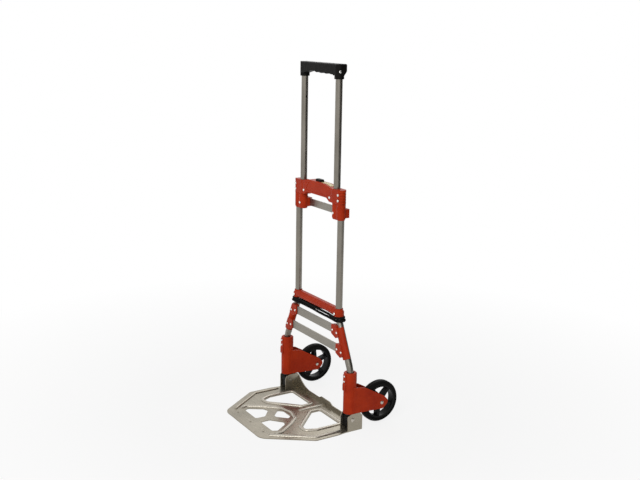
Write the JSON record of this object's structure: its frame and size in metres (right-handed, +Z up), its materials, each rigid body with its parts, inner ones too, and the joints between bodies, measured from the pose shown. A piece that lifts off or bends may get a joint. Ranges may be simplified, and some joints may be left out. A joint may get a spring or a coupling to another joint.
{
  "type": "folding hand truck",
  "caption": "Folding two-wheel hand truck: telescoping loop handle with push-button latches, fold-up pierced toe plate geared to swivelling wheel brackets.",
  "frame": {"origin": "underside of the toe plate, midway between the uprights and under their axes", "axes": "+X to the right of a viewer who stands in front of the toe plate and faces the truck; -Y forward over the toe plate; +Z up along the uprights"},
  "size_m": [0.4178, 0.4299, 1.0705],
  "materials": {
    "tube": "satin",
    "bar": "satin",
    "plate": "bright rolled",
    "shell": "satin moulded",
    "bracket": "satin moulded",
    "black": "moulded",
    "grip": "satin moulded",
    "cord": "braided",
    "inlay": "satin",
    "rivet": "bright zinc",
    "inner": "plain",
    "gear": "moulded",
    "tyre": "matte"
  },
  "bodies": {
    "frame": {"side_tube_left": "tube", "side_tube_right": "tube", "housing_front": "shell", "housing_rear": "shell", "housing_screws": "rivet", "top_inlay": "inlay", "crosspiece": "shell", "crosspiece_rivets": "rivet", "elastic_cord": "cord", "cord_clip": "inner", "ladder_sleeve_left": "shell", "ladder_sleeve_right": "shell", "ladder_bar_upper": "bar", "ladder_bar_lower": "bar", "ladder_rivets": "rivet", "hinge_block_left": "black", "hinge_block_right": "black", "foot_pins": "inner", "button_spring": "inner"},
    "button": {"release_button": "black", "button_cross_pins": "inner"},
    "latch_left": {"latch_left": "inner"},
    "latch_right": {"latch_right": "inner"},
    "handle": {"grip": "grip", "grip_rivets": "rivet", "handle_tube_left": "tube", "handle_tube_right": "tube", "slider_left": "shell", "slider_right": "shell", "slider_bar": "bar", "slider_screws": "rivet"},
    "toe": {"toe_plate": "plate", "toe_gear_left": "gear", "toe_gear_right": "gear", "toe_pins": "rivet"},
    "bracket_left": {"wheel_bracket_left": "bracket", "bracket_gear_left": "gear", "bracket_screws_left": "rivet", "axle_left": "rivet"},
    "bracket_right": {"wheel_bracket_right": "bracket", "bracket_gear_right": "gear", "bracket_screws_right": "rivet", "axle_right": "rivet"},
    "wheel_left": {"wheel_hub_left": "black", "tyre_left": "tyre", "wheel_bush_left": "inner"},
    "wheel_right": {"wheel_hub_right": "black", "tyre_right": "tyre", "wheel_bush_right": "inner"}
  },
  "joints": [
    {"name": "handle_slide", "type": "slide", "parent": "frame", "child": "handle", "axis": [0, 0, -1], "range_m": [0, 0.264]},
    {"name": "button_press", "type": "slide", "parent": "frame", "child": "button", "axis": [0, 0, -1], "range_m": [0, 0.005], "stiffness_N_per_m": 600, "springref_m": -0.004, "deforming": ["button_spring"]},
    {"name": "latch_left_slide", "type": "slide", "parent": "frame", "child": "latch_left", "axis": [1, 0, 0], "range_m": [0, 0.005]},
    {"name": "latch_right_slide", "type": "slide", "parent": "frame", "child": "latch_right", "axis": [-1, 0, 0], "range_m": [0, 0.005]},
    {"name": "toe_fold", "type": "hinge", "parent": "frame", "child": "toe", "pos_m": [0, 0, 0.036], "axis": [-1, 0, 0], "range_deg": [0, 90]},
    {"name": "bracket_left_swivel", "type": "hinge", "parent": "frame", "child": "bracket_left", "pos_m": [-0.1862, 0, 0.0712], "axis": [0, 0, -1], "range_deg": [0, 90]},
    {"name": "bracket_right_swivel", "type": "hinge", "parent": "frame", "child": "bracket_right", "pos_m": [0.1862, 0, 0.0712], "axis": [0, 0, 1], "range_deg": [0, 90]},
    {"name": "wheel_left_spin", "type": "hinge", "parent": "bracket_left", "child": "wheel_left", "pos_m": [-0.1862, 0.1036, 0.0712], "axis": [1, 0, 0], "continuous": true},
    {"name": "wheel_right_spin", "type": "hinge", "parent": "bracket_right", "child": "wheel_right", "pos_m": [0.1862, 0.1036, 0.0712], "axis": [1, 0, 0], "continuous": true}
  ],
  "couplings": [
    {"joint": "latch_left_slide", "follows": "button_press", "ratio": 1},
    {"joint": "latch_right_slide", "follows": "button_press", "ratio": 1},
    {"joint": "bracket_left_swivel", "follows": "toe_fold", "ratio": 1},
    {"joint": "bracket_right_swivel", "follows": "toe_fold", "ratio": 1}
  ]
}
